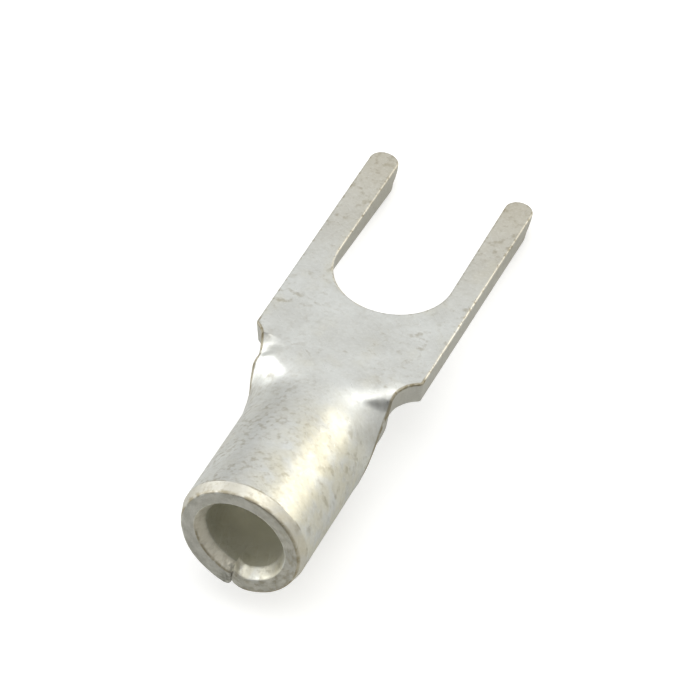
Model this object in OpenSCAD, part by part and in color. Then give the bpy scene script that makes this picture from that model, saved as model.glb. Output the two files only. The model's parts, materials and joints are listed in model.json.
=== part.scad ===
// Bare spade terminal for a screw of 3.5 mm: one flat blank of tinned copper sheet, whose
// back half is rolled into a wire barrel with its seam underneath, and whose front half
// stays flat as an open fork level with the top of the barrel.
// It lies as it comes to rest: on the front edge of the barrel and on both prong tips.

/* [Sheet] */
// Thickness of the sheet
sheet = 0.75; // [0.5:0.05:0.95]

/* [Barrel] */
// Outside diameter of the rolled barrel
barrel_od = 4; // [3.6:0.1:4.8]
// Length of the barrel from its mouth to its front edge
barrel_len = 4.1; // [3.2:0.1:5]
// Bevel round the outside of the mouth
mouth_bevel = 0.12; // [0.05:0.01:0.2]
// Countersink round the inside of the mouth, which lets the wire in
wire_lead_in = 0.16; // [0.05:0.01:0.25]
// Width of the groove that the rounded edges of the sheet leave along the seam
seam_w = 0.56; // [0.3:0.02:0.7]
// Depth of that groove on the outside, below its lips
seam_depth = 0.14; // [0.06:0.01:0.2]
// Depth of that groove in the bore, below its lips
seam_depth_inside = 0.1; // [0.06:0.01:0.16]

/* [Neck] */
// Width of the flat blank where its neck is narrowest
neck_w = 4.14; // [3.8:0.02:4.8]
// Radius of the round notch on each side of the neck
notch_r = 1.4; // [1.1:0.02:1.7]
// Length over which the rolled sheet opens out into the flat fork
opening_len = 2.3; // [2:0.05:2.5]
// How early the sheet starts to roll: 1 rolls evenly, more rolls most at the fork end
roll_start = 1.7; // [1.2:0.05:2.4]

/* [Fork] */
// Length of the whole terminal, from the mouth to the prong tips
terminal_len = 15.6; // [14:0.1:18]
// Width over both prongs
fork_w = 5.54; // [5.2:0.02:6]
// Width of the slot for the screw
slot_w = 3.82; // [3.4:0.02:4]
// Depth of the slot, from the prong tips to its round end
slot_len = 6.8; // [4.5:0.1:7.4]
// Radius of the blunt shoulder corners
shoulder_r = 0.14; // [0.1:0.02:0.3]

/* [Hidden] */

tin = "#c9c8c2";
round_fn = 96;
// Steps along and across the opening part of the neck
steps_along = 18;
steps_across = 40;
// Overshoot of a cutting solid past the face that it cuts
past = 0.5;
// The neck runs this far into the barrel's wall and into the fork, and its facets stay
// this far inside their faces
neck_overlap = 0.15;
facet_room = 0.005;
// Curvature per millimetre below which the sheet counts as flat
flat_curl = 0.0001;

barrel_r = barrel_od / 2;
bore_r = barrel_r - sheet;
flat_x = barrel_len + opening_len;

// The notch on each side of the neck is one circle, which starts square to the barrel's
// front edge and runs out at the shoulder
notch_x = barrel_len + notch_r;
notch_y = neck_w / 2 + notch_r;

// The shoulder's blunt corner touches the fork's side and the notch
shoulder_y = fork_w / 2 - shoulder_r;
shoulder_x = notch_x + sqrt(pow(notch_r + shoulder_r, 2) - pow(notch_y - shoulder_y, 2));
shoulder_touch = [shoulder_x, shoulder_y]
    + ([notch_x, notch_y] - [shoulder_x, shoulder_y]) * shoulder_r / (notch_r + shoulder_r);

prong_w = (fork_w - slot_w) / 2;
slot_x = terminal_len - slot_len + slot_w / 2;
tip_x = terminal_len - prong_w / 2;

// Depth of a circle of the barrel below the fork's upper face, where the lips of the seam
// stand on each side of its groove
function lip_depth(r) = barrel_r + sqrt(r * r - seam_w * seam_w / 4);

// Lean at rest, with the barrel's front edge and the prong tips on one level
drop = lip_depth(barrel_r) - sheet;
lean = atan2(drop, terminal_len - barrel_len);
rest_z = barrel_len * sin(lean) + lip_depth(barrel_r) * cos(lean);
back_x = -lip_depth(barrel_r - mouth_bevel) * sin(lean);
front_x = terminal_len * cos(lean);
middle_x = (back_x + front_x) / 2;

// Half width of the flat blank at a distance x from the mouth, along the notch
function blank_half(x) = notch_y - sqrt(max(0, notch_r * notch_r - pow(x - notch_x, 2)));

// Curvature of the sheet at x, from the barrel's at its front edge to none at the fork
function curl(x) = (1 - pow(1 - min(1, (flat_x - x) / opening_len), roll_start)) / barrel_r;

// Point of the rolled sheet, at a distance s across the blank from the middle line and a
// depth below the outer face. Distances across are true at the middle of the thickness.
function rolled(x, s, depth) =
    let (c = curl(x))
    c < flat_curl ? [x, s, -depth]
    : let (turn = s / (1 / c - sheet / 2) * 180 / PI)
    [x, (1 / c - depth) * sin(turn), (1 / c - depth) * cos(turn) - 1 / c];

// Ring of points round the section at x: across the outer face, then back across the inner
function neck_section(x) =
    let (
        half = blank_half(x) - facet_room,
        across = [for (j = [0 : steps_across]) half * (2 * j / steps_across - 1)])
    concat(
        [for (s = across) rolled(x, s, facet_room)],
        [for (j = [steps_across : -1 : 0]) rolled(x, across[j], sheet - facet_room)]);

// Solid through rings that all have the same number of points
module loft(rings) {
    n = len(rings[0]);
    last = len(rings) - 1;
    // The strips of a ring's own face join its outer points to its inner ones
    strips = n / 2 - 1;
    polyhedron(
        points = [for (ring = rings) each ring],
        faces = concat(
            [for (i = [0 : last - 1]) for (j = [0 : n - 1])
                [i * n + j, i * n + (j + 1) % n, (i + 1) * n + (j + 1) % n, (i + 1) * n + j]],
            [for (j = [0 : strips - 1]) [j, n - 1 - j, n - 2 - j, j + 1]],
            [for (j = [0 : strips - 1])
                [last * n + j, last * n + j + 1, last * n + n - 2 - j, last * n + n - 1 - j]]));
}

// Groove along the seam, cut into the barrel's circle of radius r: a V from lip to lip with
// its root at depth `root`, drawn twice as tall so that it runs clear of the circle
module seam_groove(r, root) {
    lip_y = seam_w / 2;
    lip_z = -lip_depth(r);
    translate([-past, 0, 0])
        rotate([90, 0, 90])
            linear_extrude(barrel_len + 2 * past)
                polygon([[-2 * lip_y, 2 * lip_z + root], [0, -root], [2 * lip_y, 2 * lip_z + root]]);
}

module barrel() {
    difference() {
        translate([0, 0, -barrel_r])
            rotate([0, 90, 0])
                rotate_extrude($fn = round_fn)
                    polygon([
                        [bore_r + wire_lead_in, 0],
                        [barrel_r - mouth_bevel, 0],
                        [barrel_r, mouth_bevel],
                        [barrel_r, barrel_len],
                        [bore_r, barrel_len],
                        [bore_r, wire_lead_in]]);
        seam_groove(barrel_r, lip_depth(barrel_r) - seam_depth);
        seam_groove(bore_r, lip_depth(bore_r) + seam_depth_inside);
    }
}

module neck() {
    stations = [
        barrel_len - neck_overlap,
        each [for (i = [0 : steps_along]) barrel_len + opening_len * i / steps_along],
        flat_x + neck_overlap];
    loft([for (x = stations) neck_section(x)]);
}

// Half of the fork's outline, on the side of +Y
module half_fork() {
    difference() {
        union() {
            translate([flat_x, 0])
                square([slot_x - flat_x, shoulder_y]);
            translate([shoulder_x, 0])
                square([tip_x - shoulder_x, fork_w / 2]);
            translate([shoulder_x, shoulder_y])
                circle(shoulder_r, $fn = round_fn);
            polygon([[shoulder_x, shoulder_y], shoulder_touch, [flat_x, shoulder_y]]);
            translate([tip_x, fork_w / 2 - prong_w / 2])
                circle(d = prong_w, $fn = round_fn);
        }
        translate([notch_x, notch_y])
            circle(notch_r, $fn = round_fn);
        translate([slot_x, 0])
            circle(d = slot_w, $fn = round_fn);
        translate([slot_x, -past])
            square([slot_len, slot_w / 2 + past]);
    }
}

module fork() {
    translate([0, 0, -sheet])
        linear_extrude(sheet) {
            half_fork();
            mirror([0, 1])
                half_fork();
        }
}

// The rolled and punched terminal, laid down as it rests
module spade_terminal() {
    color(tin)
        translate([-middle_x, 0, rest_z])
            rotate([0, lean, 0]) {
                barrel();
                neck();
                fork();
            }
}

spade_terminal();
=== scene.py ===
import json
import math

import bmesh
import bpy
from mathutils import Matrix, Vector


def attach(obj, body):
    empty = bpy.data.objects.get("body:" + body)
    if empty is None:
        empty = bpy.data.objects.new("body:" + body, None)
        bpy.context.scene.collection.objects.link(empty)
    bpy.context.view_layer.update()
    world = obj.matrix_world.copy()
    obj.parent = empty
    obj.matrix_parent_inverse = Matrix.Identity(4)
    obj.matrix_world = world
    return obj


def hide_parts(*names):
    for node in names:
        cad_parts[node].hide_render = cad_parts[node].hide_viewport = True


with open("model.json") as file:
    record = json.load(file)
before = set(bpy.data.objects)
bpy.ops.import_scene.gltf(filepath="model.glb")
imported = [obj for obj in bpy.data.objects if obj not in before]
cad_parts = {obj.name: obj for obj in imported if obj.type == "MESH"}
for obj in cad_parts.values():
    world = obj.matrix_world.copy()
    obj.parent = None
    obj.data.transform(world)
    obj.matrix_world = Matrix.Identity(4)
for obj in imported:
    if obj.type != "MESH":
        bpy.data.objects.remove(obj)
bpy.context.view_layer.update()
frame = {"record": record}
scene = bpy.context.scene


# Camera: the photograph's view, from above and behind the mouth of the barrel, with the
# prongs pointing away to the upper right. Place in metres, turn in degrees about X, Y, Z.
CAMERA_PLACE = (-0.048055, -0.024247, 0.090269)
CAMERA_TURN = (31.4579, 1.2925, -65.3932)
CAMERA_LENS = 177.04
CAMERA_NEAR, CAMERA_FAR = 0.01, 2.0

bpy.ops.object.select_all(action="DESELECT")
bpy.ops.object.camera_add(
    location=CAMERA_PLACE, rotation=[math.radians(turn) for turn in CAMERA_TURN])
camera = bpy.context.object
camera.data.lens = CAMERA_LENS
camera.data.clip_start, camera.data.clip_end = CAMERA_NEAR, CAMERA_FAR
scene.camera = camera


# Spade terminal: the whole product, one piece. A flat blank is punched from copper sheet,
# its back half is rolled into the wire barrel until both long edges meet underneath, and
# it is tin-plated. It is made here in that order, flat first and in millimetres.

# X runs from the barrel's mouth to the prong tips, Y to the left, and the outer face lies
# at height 0. The sheet is flat from FLAT_X on. A value named HALF is half a width.
SHEET = 0.75
BARREL_R = 2.0
BARREL_LEN = 4.1
FLAT_X = 6.45
NECK_HALF = 2.05
NOTCH_R = 1.35
TERMINAL_LEN = 15.6
FORK_HALF = 2.77
SLOT_HALF = 1.91
SLOT_LEN = 6.8
SHOULDER_R = 0.12
SHOULDER_HALF = 2.72

# Half the width of the blank where it is rolled, measured at the middle of the sheet
SEAM_Y = math.pi * (BARREL_R - SHEET / 2)
NOTCH = Vector((BARREL_LEN + NOTCH_R, NECK_HALF + NOTCH_R, 0))
SHOULDER_Y = SHOULDER_HALF - SHOULDER_R
SHOULDER = Vector((
    NOTCH.x + math.sqrt((NOTCH_R + SHOULDER_R) ** 2 - (NOTCH.y - SHOULDER_Y) ** 2),
    SHOULDER_Y, 0))
TIP_R = (FORK_HALF - SLOT_HALF) / 2
TIP = Vector((TERMINAL_LEN - TIP_R, FORK_HALF - TIP_R, 0))
SLOT_X = TERMINAL_LEN - SLOT_LEN + SLOT_HALF

# Outline of one half, drawn point by point: each arc is spun about its centre
bpy.ops.object.select_all(action="DESELECT")
bpy.ops.mesh.primitive_plane_add(size=1)
terminal = bpy.context.object
terminal.name = "spade_terminal_tinned"
terminal.data.name = "spade_terminal_tinned"
bpy.ops.object.mode_set(mode="EDIT")
bpy.ops.mesh.merge(type="CENTER")


def draw_to(x, y):
    """Draws a straight edge from the selected point to (x, y)."""
    sheet = bmesh.from_edit_mesh(terminal.data)
    here = next(v.co.copy() for v in sheet.verts if v.select)
    bpy.ops.mesh.extrude_region_move(
        TRANSFORM_OT_translate={"value": Vector((x, y, 0)) - here})


def draw_arc(centre, degrees, steps):
    """Spins the selected point about a centre, counter-clockwise seen from above."""
    bpy.ops.mesh.spin(
        steps=steps, angle=-math.radians(degrees), center=centre, axis=(0, 0, 1))


shoulder_turn = math.degrees(math.acos((SHOULDER.x - NOTCH.x) / (NOTCH_R + SHOULDER_R)))
draw_to(0, SEAM_Y)
draw_to(BARREL_LEN, SEAM_Y)
draw_to(BARREL_LEN, NOTCH.y)
draw_arc(NOTCH, 180 - shoulder_turn, steps=36)
draw_arc(SHOULDER, shoulder_turn - 90, steps=6)
draw_to(TIP.x, FORK_HALF)
draw_arc(TIP, -180, steps=20)
draw_to(SLOT_X, SLOT_HALF)
draw_arc((SLOT_X, 0, 0), 90, steps=28)
bpy.ops.object.mode_set(mode="OBJECT")


def apply_modifier(kind, **settings):
    """Adds a modifier with its settings to the piece at work, and applies it."""
    modifier = bpy.context.object.modifiers.new(kind.lower(), kind)
    for name, value in settings.items():
        setattr(modifier, name, value)
    bpy.ops.object.modifier_apply(modifier=modifier.name)


# The other half, the face between them, and the thickness of the sheet below it
apply_modifier("MIRROR", use_axis=(False, True, False), merge_threshold=0.001)
bpy.ops.object.mode_set(mode="EDIT")
bpy.ops.mesh.select_all(action="SELECT")
bpy.ops.mesh.edge_face_add()
bpy.ops.mesh.normals_make_consistent(inside=False)
bpy.ops.object.mode_set(mode="OBJECT")
if terminal.data.polygons[0].normal.z < 0:
    terminal.data.flip_normals()
apply_modifier("SOLIDIFY", thickness=SHEET, offset=-1)

# The slot isn't quite true: its left side stands in from the line, its right side tapers.
# The left notch is a little shallower than the right one, and most of all past its middle,
# which a power of more than 1 gives.
SLOT_IN_LEFT, SLOT_IN_RIGHT = 0.085, 0.04
NOTCH_OUT_LEFT, NOTCH_OUT_POWER = 0.11, 1.6
for v in terminal.data.vertices:
    if v.co.x > SLOT_X - SLOT_HALF:
        side = abs(v.co.y)
        taper = (v.co.x - SLOT_X) / (TERMINAL_LEN - SLOT_X)
        moved = SLOT_IN_LEFT if v.co.y > 0 else SLOT_IN_RIGHT * max(0, taper)
        share = min(side / SLOT_HALF, (FORK_HALF - side) / (FORK_HALF - SLOT_HALF))
        v.co.y -= math.copysign(moved * share ** 2, v.co.y)
    elif v.co.y > 0 and BARREL_LEN < v.co.x < SHOULDER.x:
        past = (v.co.x - BARREL_LEN) / (SHOULDER.x - BARREL_LEN)
        v.co.y += NOTCH_OUT_LEFT * math.sin(math.pi * past ** NOTCH_OUT_POWER) ** 2

# Punching leaves the cut edges slightly round, and the mouth is bevelled for the wire.
# Width of the rounding in mm, on the outer and the inner face
ROUND_MOUTH = (0.06, 0.03)
ROUND_SEAM_LEFT = (0.1, 0)
ROUND_SEAM_RIGHT = (0.15, 0)
ROUND_FRONT = (0.06, 0.05)
ROUND_FORK = (0.045, 0.05)
# The same through the thickness, at the left and the right corners of the seam
ROUND_CORNER = (0.2, 0.12)
# The widest of them, which the modifier's weights are shares of
ROUND_MOST = 0.2
# Nearer than this, an edge counts as lying on a line of the blank
NEAR = 0.01


def rounding(a, b):
    """Width of the rounding on the edge from a to b."""
    face = 0 if a.z + b.z > -SHEET else 1
    middle = (a + b) / 2
    if abs(a.z - b.z) > SHEET / 2:
        if abs(middle.y) < SEAM_Y - NEAR:
            return 0
        return ROUND_CORNER[0 if middle.y > 0 else 1]
    if middle.x < NEAR:
        return ROUND_MOUTH[face]
    if middle.y > SEAM_Y - NEAR:
        return ROUND_SEAM_LEFT[face]
    if middle.y < NEAR - SEAM_Y:
        return ROUND_SEAM_RIGHT[face]
    if middle.x < BARREL_LEN + NEAR:
        return ROUND_FRONT[face]
    return ROUND_FORK[face]


mesh = terminal.data
weights = mesh.attributes.new("bevel_weight_edge", "FLOAT", "EDGE")
for edge in mesh.edges:
    a, b = (mesh.vertices[i].co for i in edge.vertices)
    weights.data[edge.index].value = rounding(a, b) / ROUND_MOST
apply_modifier(
    "BEVEL", limit_method="WEIGHT", width=ROUND_MOST, segments=3, use_clamp_overlap=False)

# Lines close to the edges of both faces, which later carry the wear along the edges. Only
# these two faces have this many corners.
EDGE_LINES = (0.03, 0.04)
FACE_CORNERS = 100
mesh.attributes.new("edge_distance", "FLOAT", "POINT")


def select_faces(wanted):
    """Selects the faces of the piece at work that pass a test, and no others."""
    bpy.ops.object.mode_set(mode="OBJECT")
    for face in mesh.polygons:
        face.select = wanted(face)
    bpy.ops.object.mode_set(mode="EDIT")


bpy.ops.object.mode_set(mode="EDIT")
bpy.ops.mesh.select_mode(type="FACE")
select_faces(lambda face: len(face.vertices) > FACE_CORNERS)
distance = 0
for step in EDGE_LINES:
    bpy.ops.mesh.inset(thickness=step)
    distance += step
    bpy.ops.object.mode_set(mode="OBJECT")
    inside = {i for face in mesh.polygons if face.select for i in face.vertices}
    for i in inside:
        mesh.attributes["edge_distance"].data[i].value = distance
    bpy.ops.object.mode_set(mode="EDIT")


def cut(place, normal, wanted=lambda face: True):
    """Cuts the chosen faces along a plane, and leaves both sides."""
    select_faces(wanted)
    bpy.ops.mesh.bisect(plane_co=place, plane_no=normal)


# The mouth is opened over this length. Cuts close enough for the sheet to bend: through its
# thickness, across it from there to the fork and at both tips, and along the rolled part.
MOUTH_LEN = 0.36
CUT_DEPTHS = (0.17, 0.27, 0.6)
BARREL_STEPS, NECK_STEPS, ROUND_STEPS = 14, 54, 84
TIP_CUTS = (14.75, 14.9, 15.05)
for depth in CUT_DEPTHS:
    cut((0, 0, -depth), (0, 0, 1))
cuts_x = [MOUTH_LEN + (BARREL_LEN - MOUTH_LEN) * i / BARREL_STEPS
          for i in range(BARREL_STEPS)]
cuts_x += [BARREL_LEN + (FLAT_X - BARREL_LEN) * i / NECK_STEPS
           for i in range(NECK_STEPS + 1)]
cuts_x += TIP_CUTS
for x in cuts_x:
    cut((x, 0, 0), (1, 0, 0))
for i in range(1, ROUND_STEPS):
    y = SEAM_Y * (2 * i / ROUND_STEPS - 1)
    cut((0, y, 0), (0, 1, 0), lambda face: face.center.x < FLAT_X)
bpy.ops.object.mode_set(mode="OBJECT")

# Where each point lies on the flat sheet: along it, across it, and below its outer face
place = mesh.attributes.new("sheet_place", "FLOAT_VECTOR", "POINT")
for v in mesh.vertices:
    place.data[v.index].vector = (v.co.x, v.co.y, -v.co.z)


# Sizes of the rolling, in mm. A pair of places tells where a mark is nil, then where it is
# full, along the sheet or across it.

# At the mouth the punch has drawn the outer edge down, and a countersink opens the inner one
# for the wire: depths at the mouth. The share of the drawing that the underside has, and
# between which shares of the way from the top to the seam the rest of it fades
MOUTH_DRAW, LEAD_IN = 0.13, 0.2
DRAW_BELOW, DRAW_FADES = 0.4, (0.8, 0.4)

# How far the sheet is rolled at each edge of the neck and, on the right, further in: from
# 1 at the barrel to 0 at the fork, at distances from the mouth. The tool has left a sharp
# fold at the right edge.
ROLL_LEFT = ((4.1, 1), (4.5, 0.97), (4.8, 0.92), (5.0, 0.85), (5.2, 0.75), (5.4, 0.62),
             (5.5, 0.53), (5.6, 0.42), (5.7, 0.285), (5.8, 0.17), (5.9, 0.1), (6.0, 0.05),
             (6.1, 0.03), (6.3, 0))
ROLL_RIGHT = ((4.1, 1), (4.3, 0.975), (4.6, 0.89), (4.9, 0.77), (5.2, 0.64), (5.4, 0.54),
              (5.54, 0.46), (5.59, 0.42), (5.74, 0.2), (5.78, 0.17), (5.9, 0.1), (6.05, 0.04),
              (6.35, 0))
ROLL_INSIDE = ((4.1, 1), (4.3, 0.975), (4.6, 0.89), (4.9, 0.77), (5.2, 0.63), (5.5, 0.46),
               (5.8, 0.28), (6.0, 0.16), (6.2, 0.06), (6.4, 0))
# Where, across the right half, the curve at the edge takes over from the one inside
INSIDE_TO_EDGE = (1.0, 1.8)
# How far the bend runs back towards the barrel for each mm in from the edge, and the places
# between which that grows
SLANT_LEFT, SLANT_RIGHT = 0.45, 0.65
SLANT_ALONG = (BARREL_LEN, 5.6)
# Less roll than this is none
FLAT_ROLL = 0.0001

# The tool has dented the left edge of the neck, and behind the dent the edge flares out a
# little: depth, reach from the edge inwards, and both ends along the neck
DENT, DENT_REACH, DENT_START, DENT_END = 0.18, 0.6, (5.5, 5.85), (6.4, 5.95)
FLARE, FLARE_REACH, FLARE_START, FLARE_END = 0.04, 0.32, (4.9, 5.3), (5.9, 5.6)
# How round the lip of the dent is, and the share of both marks that the inner face lacks
DENT_LIP, MARKS_FADE = 0.5, 0.8
# How upright the cut wall stays where the sheet is half rolled
UPRIGHT = 0.9

# How far the lower edge of a cut wall stands to the right of its upper edge, and where:
# under the left shoulder, and along the slot's left wall from its root to its tip
LEAN_SHOULDER, LEAN_ROOT, LEAN_TIP = 0.11, -0.08, 0.05
SHOULDER_START, SHOULDER_END, SHOULDER_SIDE = (5.9, 6.5), (7.6, 7.1), (1.6, 2.3)
SLOT_START, SLOT_SIDE, ROOT_TO_TIP = (8.9, 9.5), (2.3, 2.0), (9.5, 14.5)
LEFT_HALF = (0, 1)
# How far the left prong is bent up at its tip, and where
PRONG_UP = 0.035
PRONG_ALONG = (8.9, TERMINAL_LEN)
# The punch has rounded the lower edge of both tips: where, and how much narrower and shorter
# the lower face is there, as shares of the tip's radius
TIP_UNDER_ALONG = (TIP_CUTS[0], TIP.x)
TIP_UNDER_Y, TIP_UNDER_END = 0.22, 0.35

# The barrel isn't quite round: it is flatter at the lower left, and at the seam its right
# edge is bent in. Angle from the top in degrees and depth in mm, which fades with a power
# of the roll as the sheet opens out.
OUT_OF_ROUND = ((-180, 0.22), (-169, 0.06), (-160, 0.03), (-120, 0.03), (-80, 0), (80, 0),
                (108, 0.06), (150, 0.08), (170, 0.03), (180, 0))
OUT_OF_ROUND_POWER = 4
# How far round the seam has slipped, and the angles from the top where it has, in degrees
SEAM_SLIP, SEAM_SLIP_ROUND = -5, (90, 180)
# Inside, past the mouth, the plating has filled the seam: the share of the dents it levels
SEAM_FILLED, SEAM_FILLED_ALONG = 0.8, (0.3, 1.2)


def smooth(nil, full, value):
    """0 up to nil, 1 from full on, and a smooth step between. Either may be the larger."""
    t = min(1, max(0, (value - nil) / (full - nil)))
    return t * t * (3 - 2 * t)


def between(start, end, value):
    """1 inside two smooth steps, and 0 outside them."""
    return smooth(*start, value) * smooth(*end, value)


def read_curve(points, x):
    """Height at x of the smooth curve through some points, which are in order of x."""
    last = len(points) - 1
    i = max([k for k in range(last) if points[k][0] <= x], default=0)
    slopes = []
    for k in (i, i + 1):
        (xa, ya), (xb, yb) = points[max(k - 1, 0)], points[min(k + 1, last)]
        slopes.append((yb - ya) / (xb - xa))
    (xa, ya), (xb, yb) = points[i], points[i + 1]
    t = min(1, max(0, (x - xa) / (xb - xa)))
    return (ya + (yb - ya) * t * t * (3 - 2 * t)
            + (xb - xa) * t * (1 - t) * (slopes[0] * (1 - t) - slopes[1] * t))


def roll_at(x, across):
    """How far the sheet is rolled up at a point: 0 flat, 1 as round as the barrel."""
    if x <= BARREL_LEN:
        return 1
    slant = SLANT_LEFT if across > 0 else SLANT_RIGHT
    at = x + slant * max(0, NECK_HALF - abs(across)) * smooth(*SLANT_ALONG, x)
    if across > 0:
        return max(0, read_curve(ROLL_LEFT, at))
    edge_share = smooth(*INSIDE_TO_EDGE, -across)
    inside, edge = read_curve(ROLL_INSIDE, at), read_curve(ROLL_RIGHT, at)
    return max(0, inside + (edge - inside) * edge_share)


def wall_lean(x, across):
    """How far the lower face stands to the right of the upper one at a point."""
    shoulder = between(SHOULDER_START, SHOULDER_END, x) * smooth(*SHOULDER_SIDE, across)
    slot = smooth(*SLOT_START, x) * between(LEFT_HALF, SLOT_SIDE, across)
    along_slot = LEAN_ROOT + (LEAN_TIP - LEAN_ROOT) * smooth(*ROOT_TO_TIP, x)
    return LEAN_SHOULDER * shoulder + along_slot * slot


def fork_point(x, across, depth):
    """Where a point of the flat fork goes: tips rounded below, the left prong bent up."""
    under = smooth(*TIP_UNDER_ALONG, x) * (depth / SHEET) ** 2
    off_prong = abs(across) - TIP.y
    across -= math.copysign(1, across) * off_prong * TIP_UNDER_Y * under
    x -= max(0, x - TIP.x) * TIP_UNDER_END * under
    raised = PRONG_UP * smooth(*PRONG_ALONG, x) * smooth(*LEFT_HALF, across)
    return Vector((x, across, raised - depth))


def edge_marks(x, across, depth):
    """How far outwards the tool has moved a point near the left edge of the neck."""
    from_edge = NECK_HALF - across
    dented = max(0, 1 - from_edge / DENT_REACH)
    dented = dented ** 2 * (1 + DENT_LIP - DENT_LIP * dented)
    flared = max(0, 1 - from_edge / FLARE_REACH) ** 2
    moved = (FLARE * flared * between(FLARE_START, FLARE_END, x)
             - DENT * dented * between(DENT_START, DENT_END, x))
    return moved * (1 - MARKS_FADE * depth / SHEET)


def rolled(x, across, depth):
    """Where a point of the flat blank goes when it is rolled."""
    opened = max(0, 1 - x / MOUTH_LEN)
    drawn = DRAW_BELOW + (1 - DRAW_BELOW) * smooth(*DRAW_FADES, abs(across) / SEAM_Y)
    outer = MOUTH_DRAW * drawn * opened
    inner = SHEET - LEAD_IN * opened
    across -= wall_lean(x, across) * depth / SHEET
    depth = outer + depth / SHEET * (inner - outer)
    roll = roll_at(x, across)
    if roll < FLAT_ROLL:
        return fork_point(x, across, depth)
    radius = BARREL_R / roll
    turn = across / (radius - SHEET / 2)
    degrees = math.degrees(turn)
    turn += math.radians(SEAM_SLIP) * roll * smooth(*SEAM_SLIP_ROUND, abs(degrees))
    filled = SEAM_FILLED * depth / SHEET * smooth(*SEAM_FILLED_ALONG, x)
    dent = read_curve(OUT_OF_ROUND, degrees)
    out = radius - roll ** OUT_OF_ROUND_POWER * (1 - filled) * dent
    if across > 0 and x > BARREL_LEN:
        out += edge_marks(x, across, depth)
    # 4 * roll * (1 - roll) is 1 where the sheet is half rolled
    wall = turn * (1 - UPRIGHT * 4 * roll * (1 - roll))
    return Vector((x, out * math.sin(turn) - depth * math.sin(wall),
                   out * math.cos(turn) - depth * math.cos(wall) - radius))


# Laid as it rests: the front edge of the barrel and both prong tips touch the floor. The
# frame gives the middle of the straight bore, which starts past the solid's countersink.
MM = 0.001
SOLID_LEAD_IN = 0.16
bore = next(m for m in frame["record"]["mounts"] if m["name"] == "wire_bore")
lean = math.atan2(bore["axis"][2], -bore["axis"][0])
bore_middle = Vector(((SOLID_LEAD_IN + BARREL_LEN) / 2, 0, -BARREL_R))
lay = (Matrix.Translation(Vector(bore["pos_m"])) @ Matrix.Rotation(lean, 4, "Y")
       @ Matrix.Scale(MM, 4) @ Matrix.Translation(-bore_middle))
for v in mesh.vertices:
    v.co = rolled(v.co.x, v.co.y, -v.co.z)
mesh.transform(lay)

# A bend sharper than this, in degrees, shows as an edge. The countersink and the drawn edge
# end in clear lines round the bore and the barrel, so the edges on these lines do too.
SHARP_BEND = 35
ON_LINE = 0.001
bpy.ops.object.shade_smooth_by_angle(angle=math.radians(SHARP_BEND))
for edge in mesh.edges:
    ends = [place.data[i].vector for i in edge.vertices]
    if all(abs(end.x - MOUTH_LEN) < ON_LINE and not ON_LINE < end.z < SHEET - ON_LINE
           for end in ends):
        edge.use_edge_sharp = True

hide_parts("spade_terminal")
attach(terminal, "root")


def colour(text):
    """Linear colour, with alpha, of an sRGB hex value."""
    parts = [int(text[i:i + 2], 16) / 255 for i in (1, 3, 5)]
    return tuple(c / 12.92 if c <= 0.04045 else ((c + 0.055) / 1.055) ** 2.4
                 for c in parts) + (1,)


def add_node(tree, kind, inputs, **settings):
    """Adds a node with its settings. An input is a value or the output of another node."""
    node = tree.nodes.new("ShaderNode" + kind)
    for name, value in settings.items():
        setattr(node, name, value)
    for name, value in inputs.items():
        if isinstance(value, bpy.types.NodeSocket):
            tree.links.new(value, node.inputs[name])
        else:
            node.inputs[name].default_value = value
    return node.outputs


# Tin plate: copper sheet, cold-rolled and punched, with a matt electroplated coat of tin
# 2 to 3 microns thick. The eye gets a satin silver grey with a soft broad highlight,
# clouded and flecked by handling, with fine scratches, and brown stains along the cut
# edges, where the coat is thin. Every pattern is laid out on the flat sheet, in mm. The
# crystals of the coat and its scratches are finer than a pixel, so they are drawn 0.05 to
# 0.06 mm wide.
TIN_LIGHT = "#dee0dc"
TIN_DULL = "#cfd0cb"
TIN_WARM = "#c3bca8"
TIN_YELLOW = "#dad5bd"
# Cream: a painted highlight on the right-facing edges, and a painted reflection on the left
# of the countersink
TIN_CREAM = "#ebe4d0"
TIN_BRIGHT = "#eeeeea"
TIN_CUT = "#bcbab0"
TIN_BORE = "#aaa790"
# Painted light: a pale colour deep in the bore, which makes its shaded far part lighter
BORE_PAINTED_LIGHT = "#f2f0e2"
STAIN = "#867a58"
# Dark grey: a film on the mouth's ring, and at the seam by the mouth a film that is in part
# painted shade of the seam's gap
TIN_DARK_GREY = "#86857a"

tin = bpy.data.materials.new("matt_tin_plate")
tin.use_nodes = True
nodes = tin.node_tree
shader = nodes.nodes["Principled BSDF"]

sheet_at = add_node(nodes, "Attribute", {}, attribute_name="sheet_place")["Vector"]
along, across, depth = add_node(nodes, "SeparateXYZ", {0: sheet_at})
from_edge = add_node(nodes, "Attribute", {}, attribute_name="edge_distance")["Fac"]


def blotches(size, bare=0.35, full=0.65, detail=3, long=(1, 1, 1), turn=0, within=1):
    """Where blotches of a size in mm cover the sheet, from 0 bare to 1 full."""
    # bare and full are levels of the noise, long stretches the blotches along each axis of
    # the sheet, and turn is in degrees about the sheet's thickness
    point = add_node(nodes, "Mapping", {0: sheet_at, 2: (0, 0, math.radians(turn))})[0]
    point = add_node(nodes, "VectorMath", {0: point, 1: [1 / (size * s) for s in long]},
                     operation="MULTIPLY")[0]
    noise = add_node(nodes, "TexNoise", {"Vector": point, "Scale": 1, "Detail": detail})[0]
    return add_node(nodes, "MapRange", {0: noise, 1: bare, 2: full, 4: within},
                    interpolation_type="SMOOTHSTEP")[0]


from_middle = add_node(nodes, "Math", {0: across}, operation="ABSOLUTE")[0]
# Distance outwards from the middle of a prong. Times the side, it is below 0 on the half of
# each prong that faces right, and above 0 on the half that faces left.
past_prong = add_node(nodes, "Math", {0: from_middle, 1: (FORK_HALF + SLOT_HALF) / 2},
                      operation="SUBTRACT")[0]
facing_left = add_node(nodes, "Math", {0: past_prong, 1: across}, operation="MULTIPLY")[0]
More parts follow.
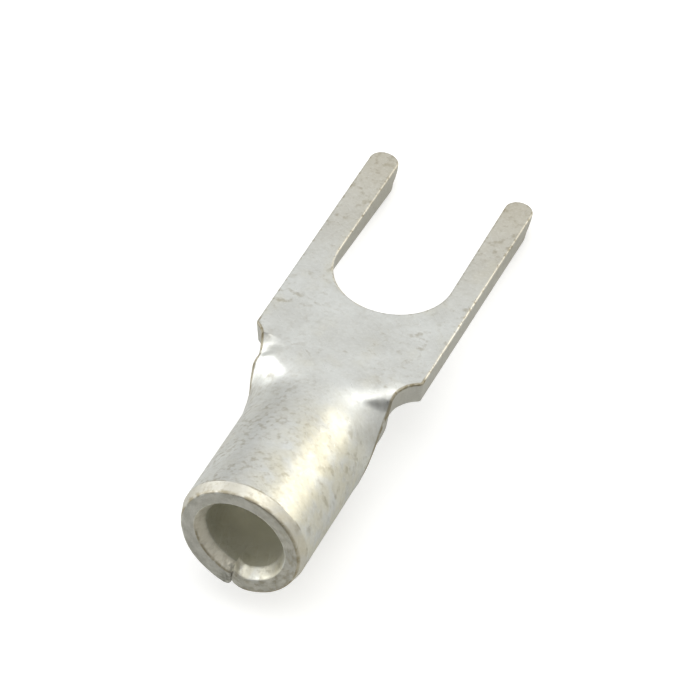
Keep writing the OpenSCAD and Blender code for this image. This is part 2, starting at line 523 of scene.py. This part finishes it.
# Distance from the line round the barrel in which the drawn edge of the mouth ends
BAND_END = 0.38
past_band = add_node(nodes, "Math", {0: along, 1: BAND_END}, operation="SUBTRACT")[0]
from_band_end = add_node(nodes, "Math", {0: past_band}, operation="ABSOLUTE")[0]

# Where each finish lies, from 0 to 1: its measure, the values of it, mostly in mm, at which
# it is nil and full, and the zone that it lies within, which the last input multiplies by
zones = {}
for name, measure, nil, full, within in (
        # The cut walls between the two faces, and the ring that they make at the mouth
        ("below_face", depth, 0.06, 0.1, None),
        ("cut_wall", depth, 0.72, 0.68, "below_face"),
        ("mouth_ring", along, 0.04, 0.01, "cut_wall"),
        ("right_ring", across, 0.5, -2.5, "mouth_ring"),
        # The edges of the outer face: of the fork, of its notches and of its right sides
        ("by_edge", from_edge, 0.045, 0.01, None),
        ("outer_edge", depth, 0.1, 0.05, "by_edge"),
        ("fork_edge", along, 3.8, 4.2, "outer_edge"),
        ("notch_edge", along, 7, 6.8, "fork_edge"),
        ("right_edges", facing_left, 0.2, -0.2, "fork_edge"),
        ("past_shoulder", along, 6.4, 7, "right_edges"),
        ("right_edge", along, 14, 10.5, "past_shoulder"),
        # The outer edge of the mouth, the band drawn down behind it and the band's end
        ("near_face", depth, 0.1, 0.05, None),
        ("mouth_rim", along, 0.11, 0.05, "near_face"),
        ("right_rim", across, -0.6, -1.8, "mouth_rim"),
        ("outer_face", depth, 0.06, 0.04, None),
        ("drawn_band", along, 0.42, 0.32, "outer_face"),
        ("band_end", from_band_end, 0.04, 0.01, "outer_face"),
        # The left and the right of the barrel, both sides of the sheet, the way to the tips
        ("on_barrel", along, 5.8, 3.8, None),
        ("on_left", across, -1.2, 0.4, "on_barrel"),
        ("right_side", across, 0.6, -0.6, None),
        ("handled", along, 5.4, 3.6, "right_side"),
        ("near_sides", from_middle, 0.8, 1.6, None),
        ("to_tips", along, 9.5, 15, None),
        # The left edge of the seam at the mouth
        ("by_mouth", along, 0.5, 0.2, None),
        ("at_seam", across, SEAM_Y - 0.5, SEAM_Y - 0.15, "by_mouth"),
        # The inner face: its rim at the lower left, the countersink, and the bore beyond it
        ("inner_face", depth, 0.7, 0.74, None),
        ("inner_edge", along, 0.08, 0.03, "inner_face"),
        ("lower_left_rim", across, 2, 3, "inner_edge"),
        ("cone", along, 0.38, 0.34, "inner_face"),
        ("left_cone", across, 0.5, 2.5, "cone"),
        ("beyond_cone", along, 0.3, 0.42, "inner_face"),
        ("in_bore", along, 5.5, 3.8, "beyond_cone"),
        # Deep in the bore, where a lighter colour is painted as painted light
        ("deep_bore_painted_light", along, 0.7, 1.7, "in_bore")):
    zones[name] = add_node(nodes, "MapRange", {
        0: measure, 1: nil, 2: full, 4: zones.get(within, 1)})[0]

cloud = blotches(1.6, detail=4)
mottle = blotches(0.3, 0.3, 0.7, detail=5)
dull_flecks = blotches(0.14, 0.45, 0.85, detail=4, long=(1, 1.3, 1))
rubbed = blotches(0.15, 0.47, 0.66, detail=5, turn=30,
                  within=blotches(0.9, 0.35, 0.55, detail=2, within=zones["on_left"]))
light_flecks = blotches(0.09, 0.45, 0.8, detail=4, turn=40)
glints = blotches(0.05, 0.68, 0.76, detail=2, long=(5, 1, 1), turn=-25)
warm_patches = blotches(1.1, 0.5, 0.75)
warm_side = blotches(0.5, 0.3, 0.6, within=zones["handled"])
spotted = blotches(1.2, 0.48, 0.68, detail=2)
spots = blotches(0.16, 0.53, 0.74, detail=4, long=(0.8, 1.4, 1), within=spotted)
smears = blotches(0.3, 0.52, 0.7, detail=5, turn=35,
                  within=blotches(1.5, 0.42, 0.57, detail=1, within=zones["near_sides"]))
notch_stain = blotches(0.2, 0.2, 0.45, detail=4, within=zones["notch_edge"])
# Painted highlight: cream along the edges that face right, towards the lamps, fading towards
# the tips
edge_glint = blotches(0.3, 0.3, 0.6, within=zones["right_edge"])
edge_stain = blotches(0.14, 0.5, 0.66, detail=4, within=zones["fork_edge"])
rim_stain = blotches(0.35, 0.38, 0.6, detail=6, within=zones["mouth_rim"])
band_stain = blotches(0.3, 0.45, 0.62, detail=6, within=zones["band_end"])
cone_spots = blotches(0.22, 0.42, 0.65, detail=4, within=zones["left_cone"])
inner_rim = blotches(0.4, 0.3, 0.55, detail=5, within=zones["lower_left_rim"])
# The left of the seam by the mouth: a mottled film, in part painted shade of the gap
seam_film_and_shade = blotches(0.12, 0.3, 0.6, detail=4, within=zones["at_seam"])
right_rim_stain = blotches(0.25, 0.25, 0.55, detail=6, within=zones["right_rim"])
ring_film = blotches(0.35, 0.3, 0.7, detail=5, within=zones["mouth_ring"])
ring_stain = blotches(0.22, 0.44, 0.64, detail=6, within=zones["right_ring"])
scratches = blotches(0.055, 0.66, 0.72, detail=1, long=(28, 1, 1), turn=24)
cross_scratches = blotches(0.05, 0.67, 0.73, detail=1, long=(22, 1, 1), turn=-48)
shear_lines = blotches(0.05, detail=2, long=(1, 1, 14), within=zones["cut_wall"])

# Each layer lies over the ones before it: where, how much it covers, its colour, and how
# much rougher it is than the bare coat. The colours of a Mix node are its inputs 6 and 7 and
# its output 2.
COAT_ROUGH = 0.38
layers = (
    (cloud, 1, TIN_LIGHT, -0.04),
    (mottle, 0.4, TIN_DULL, 0.06),
    (warm_patches, 0.25, TIN_YELLOW, 0),
    (warm_side, 0.55, TIN_YELLOW, 0),
    (zones["to_tips"], 0.7, TIN_WARM, 0),
    (dull_flecks, 0.16, STAIN, 0.05),
    (rubbed, 0.42, STAIN, 0.06),
    (light_flecks, 0.3, TIN_BRIGHT, -0.05),
    (spots, 0.32, STAIN, 0.08),
    (smears, 0.4, STAIN, 0.1),
    (glints, 0.5, TIN_BRIGHT, -0.15),
    # Painted highlight along the right-facing edges
    (edge_glint, 0.5, TIN_CREAM, -0.08),
    (edge_stain, 0.5, STAIN, 0.15),
    (notch_stain, 0.7, STAIN, 0.15),
    (rim_stain, 0.75, STAIN, 0.15),
    (right_rim_stain, 0.6, STAIN, 0.1),
    (zones["cut_wall"], 0.8, TIN_CUT, 0.1),
    (zones["cone"], 0.15, TIN_YELLOW, 0.1),
    # Painted reflection: the left of the countersink is painted cream for the lit bottom of
    # the countersink that it mirrors
    (zones["left_cone"], 0.6, TIN_CREAM, 0),
    (cone_spots, 0.22, STAIN, 0.05),
    (inner_rim, 0.7, STAIN, 0.15),
    (zones["drawn_band"], 0.45, TIN_WARM, 0.05),
    (band_stain, 0.45, STAIN, 0.1),
    (zones["in_bore"], 0.75, TIN_BORE, 0.15),
    # Painted light: the bore is painted paler further in, against its shade
    (zones["deep_bore_painted_light"], 0.75, BORE_PAINTED_LIGHT, 0),
    # In part painted shade: the seam's gap by the mouth is darkened
    (seam_film_and_shade, 0.7, TIN_DARK_GREY, 0.15),
    (ring_film, 0.35, TIN_DARK_GREY, 0),
    (ring_stain, 0.35, STAIN, 0.05),
    (scratches, 0.2, TIN_LIGHT, -0.08),
    (cross_scratches, 0.2, TIN_LIGHT, -0.08))
tone, rough = colour(TIN_DULL), COAT_ROUGH
for where, cover, hue, rougher in layers:
    share = add_node(nodes, "Math", {0: where, 1: cover}, operation="MULTIPLY")[0]
    tone = add_node(nodes, "Mix", {0: share, 6: tone, 7: colour(hue)}, data_type="RGBA")[2]
    rough = add_node(nodes, "Math", {0: where, 1: rougher, 2: rough},
                     operation="MULTIPLY_ADD")[0]
nodes.links.new(tone, shader.inputs["Base Color"])
nodes.links.new(rough, shader.inputs["Roughness"])
# The bore holds a dull film from the plating bath, which scatters the light, and the left of
# the countersink is less metallic so that its cream, a painted reflection, shows: how
# metallic the bore still looks, and how much less so the left is
BORE_METALLIC, LEFT_CONE_LESS = 0.2, 0.5
metal = add_node(nodes, "MapRange", {0: zones["in_bore"], 3: 1, 4: BORE_METALLIC})[0]
metal = add_node(nodes, "Math", {0: zones["left_cone"], 1: -LEFT_CONE_LESS, 2: metal},
                 operation="MULTIPLY_ADD")[0]
nodes.links.new(metal, shader.inputs["Metallic"])

# Height of the grain, of the sheet's waves, of the scratches and of the sheared walls, in mm
grain = blotches(0.06, 0, 1)
waves = blotches(0.7, 0, 1, detail=2)
height = 0
for where, raised in ((grain, 0.0014), (waves, 0.012), (mottle, 0.0015), (scratches, -0.0012),
                      (cross_scratches, -0.0012), (shear_lines, 0.002)):
    height = add_node(nodes, "Math", {0: where, 1: raised, 2: height},
                      operation="MULTIPLY_ADD")[0]
bump = add_node(nodes, "Bump", {"Strength": 1, "Distance": MM, "Height": height})["Normal"]
nodes.links.new(bump, shader.inputs["Normal"])
terminal.data.materials.append(tin)


# Floor: a plain white table top of painted board, three metres square, on which the
# terminal lies
FLOOR_SIZE = 3
FLOOR_WHITE = "#d8d8d6"
FLOOR_LIFT, METAL_LIFT = 0.5, 0.04
bpy.ops.object.select_all(action="DESELECT")
bpy.ops.mesh.primitive_plane_add(size=FLOOR_SIZE)
floor = bpy.context.object
floor.name = "floor"
paint = bpy.data.materials.new("white_table_top")
paint.use_nodes = True
shader = paint.node_tree.nodes["Principled BSDF"]
shader.inputs["Base Color"].default_value = colour(FLOOR_WHITE)
shader.inputs["Roughness"].default_value = 0.9
shader.inputs["Specular IOR Level"].default_value = 0.2
# What the camera sees of it is lifted to white, and the shadow stays. The metal sees it
# less lifted, because it shows a greyer table.
rays = add_node(paint.node_tree, "LightPath", {})
seen = 0
for ray, lift in (("Is Camera Ray", FLOOR_LIFT), ("Is Glossy Ray", METAL_LIFT),
                  ("Is Transmission Ray", METAL_LIFT)):
    seen = add_node(paint.node_tree, "Math", {0: rays[ray], 1: lift, 2: seen},
                    operation="MULTIPLY_ADD")[0]
shader.inputs["Emission Color"].default_value = (1, 1, 1, 1)
paint.node_tree.links.new(seen, shader.inputs["Emission Strength"])
floor.data.materials.append(paint)

# Light: a pale room, a little darker low down and dark where the camera stands, and three
# soft lamps: a large one overhead, one low at the left and a warmer one low behind at the
# right
ROOM_HIGH, ROOM_LOW, ROOM_DARK = 0.97, 0.45, 0.02
# The way to the dark side, and how nearly a look goes that way, at most 1, where the dark
# starts and where it is full
DARK_SIDE = (-0.85, -0.3, 0.43)
DARK_FROM, DARK_FULL = 0.55, 0.8
# Height, as a share of a look's length, from which the room is at its palest
PALE_HEIGHT = 0.5
room = bpy.data.worlds.new("studio")
scene.world = room
room.use_nodes = True
background = room.node_tree.nodes["Background"]
toward = add_node(room.node_tree, "TexCoord", {})["Generated"]
facing = add_node(room.node_tree, "VectorMath", {0: toward, 1: DARK_SIDE},
                  operation="DOT_PRODUCT")["Value"]
height = add_node(room.node_tree, "SeparateXYZ", {0: toward})[2]
pale = add_node(room.node_tree, "MapRange", {
    0: height, 1: 0, 2: PALE_HEIGHT, 3: ROOM_LOW, 4: ROOM_HIGH})[0]
level = add_node(room.node_tree, "MapRange", {
    0: facing, 1: DARK_FROM, 2: DARK_FULL, 3: pale, 4: ROOM_DARK})[0]
room.node_tree.links.new(level, background.inputs["Strength"])
background.inputs["Color"].default_value = (1, 1, 1, 1)

LAMP_DISTANCE = 0.3


def soft_lamp(name, toward, size, strength, tint):
    """Adds a square lamp that faces the object. Its size leaves its brightness as it is."""
    toward = Vector(toward).normalized()
    bpy.ops.object.select_all(action="DESELECT")
    bpy.ops.object.light_add(
        type="AREA", location=toward * LAMP_DISTANCE,
        rotation=toward.to_track_quat("Z", "Y").to_euler())
    lamp = bpy.context.object
    lamp.name = name
    lamp.data.size = size
    lamp.data.energy = strength * math.pi * size ** 2
    lamp.data.color = colour(tint)[:3]


soft_lamp("lamp_overhead", (0.12, -0.05, 0.97), 0.25, 1.35, "#ffffff")
soft_lamp("lamp_left", (-0.12, 0.92, 0.36), 0.2, 2.2, "#ffffff")
soft_lamp("lamp_behind_right", (0.72, -0.6, 0.32), 0.2, 1.35, "#fff8e6")

scene.view_settings.view_transform = "Standard"
